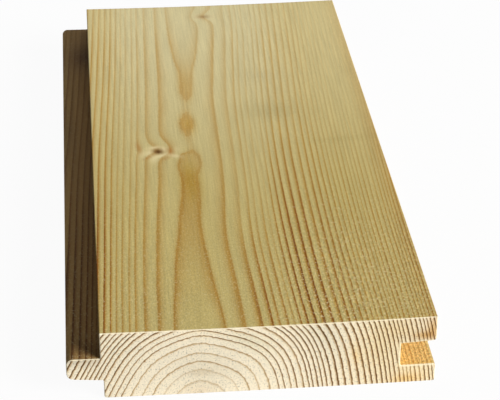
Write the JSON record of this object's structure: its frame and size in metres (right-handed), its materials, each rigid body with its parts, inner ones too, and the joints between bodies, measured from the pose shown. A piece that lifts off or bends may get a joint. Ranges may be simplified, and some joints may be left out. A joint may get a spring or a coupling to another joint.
{
  "type": "tongue-and-groove plank",
  "caption": "Short softwood plank with a planed face, a rounded tongue along one edge and a matching groove along the other, for boarding floors, walls and roofs.",
  "frame": {"origin": "under the middle of the plank, on the plane that its back rests on", "axes": "+Y along the plank, +Z out of the planed face, -X out of the tongue and +X out of the groove"},
  "size_m": [0.096, 0.21, 0.02],
  "materials": {
    "treated_softwood": "planed and profiled, pressure treated to a pale olive tint, with fresh-cut cream ends"
  },
  "bodies": {
    "root": {"plank": "treated_softwood"}
  },
  "joints": []
}
